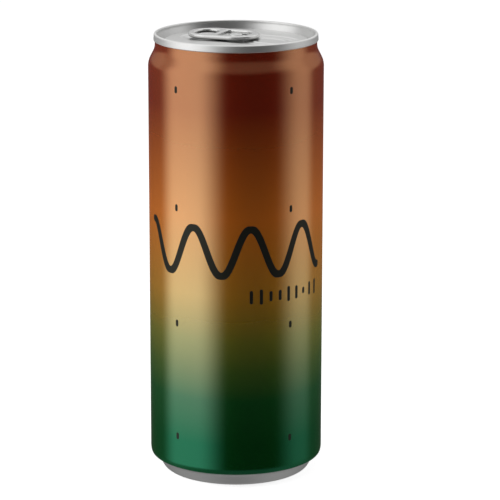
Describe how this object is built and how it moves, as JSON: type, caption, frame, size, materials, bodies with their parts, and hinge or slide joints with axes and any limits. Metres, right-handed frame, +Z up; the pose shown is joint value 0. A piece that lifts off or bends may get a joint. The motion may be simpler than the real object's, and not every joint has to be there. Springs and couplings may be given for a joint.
{
  "type": "drink can",
  "caption": "Slim drink can, shut: straight printed wall, short neck, double seam, scored end with a stay-on tab, and a domed base on a narrow stand ring.",
  "frame": {"origin": "centre of the stand ring, on the plane that the can stands on", "axes": "+Z up along the can's axis, out through the end; +X from the rivet over the tab's nose to the pour opening"},
  "size_m": [0.057, 0.057, 0.146],
  "materials": {
    "printed_wall": "satin metallic ink",
    "bare_end": "satin",
    "bare_tab": "bright"
  },
  "bodies": {
    "root": {"can_body": "printed_wall", "can_end": "bare_end", "pull_tab": "bare_tab"}
  },
  "joints": []
}
